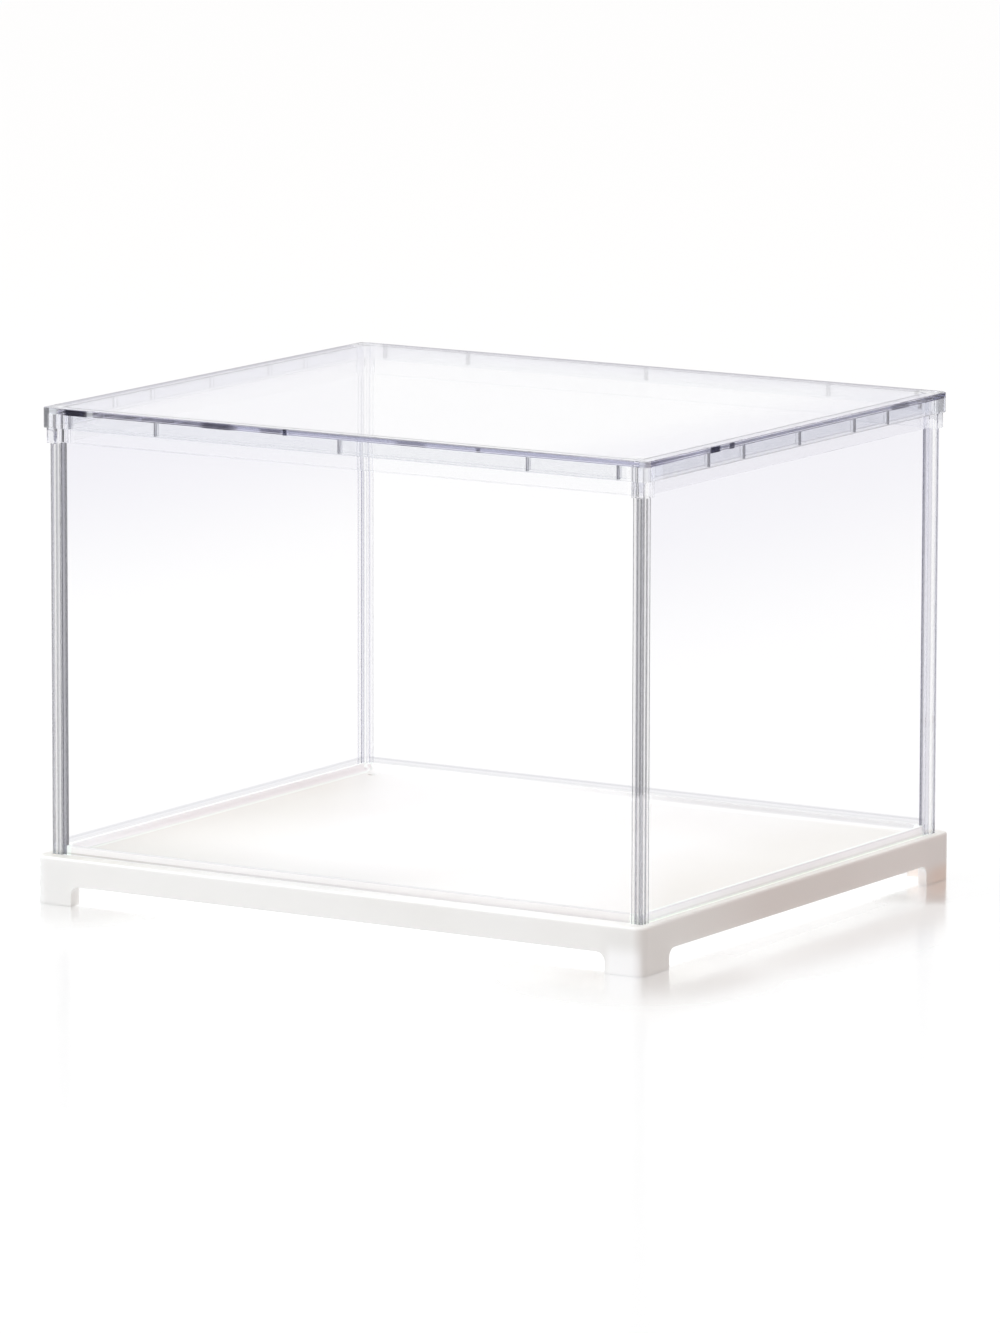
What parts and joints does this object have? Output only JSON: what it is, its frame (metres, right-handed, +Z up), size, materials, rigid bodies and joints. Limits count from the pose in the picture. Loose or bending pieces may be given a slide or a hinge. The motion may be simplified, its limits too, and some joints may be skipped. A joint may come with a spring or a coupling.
{
  "type": "display case",
  "caption": "Rectangular clear display case: white footed tray, grooved corner posts, side panels held in a channel, and a moulded clear lid that lifts off.",
  "frame": {"origin": "on the ground under the middle of the tray", "axes": "+Z up, +X along the wide side, -Y out of the front"},
  "size_m": [0.35, 0.3, 0.2468],
  "materials": {
    "white_plastic": "satin moulded",
    "clear_bar": "clear, extruded",
    "clear_sheet": "clear, polished",
    "clear_moulding": "clear, moulded"
  },
  "bodies": {
    "case": {"tray": "white_plastic", "post_front_left": "clear_bar", "post_front_right": "clear_bar", "post_back_right": "clear_bar", "post_back_left": "clear_bar", "panel_front": "clear_sheet", "panel_right": "clear_sheet", "panel_back": "clear_sheet", "panel_left": "clear_sheet"},
    "lid": {"lid": "clear_moulding"}
  },
  "joints": [
    {"name": "lid_lift", "type": "slide", "parent": "case", "child": "lid", "axis": [0, 0, 1], "range_m": [0, 0.15]}
  ]
}
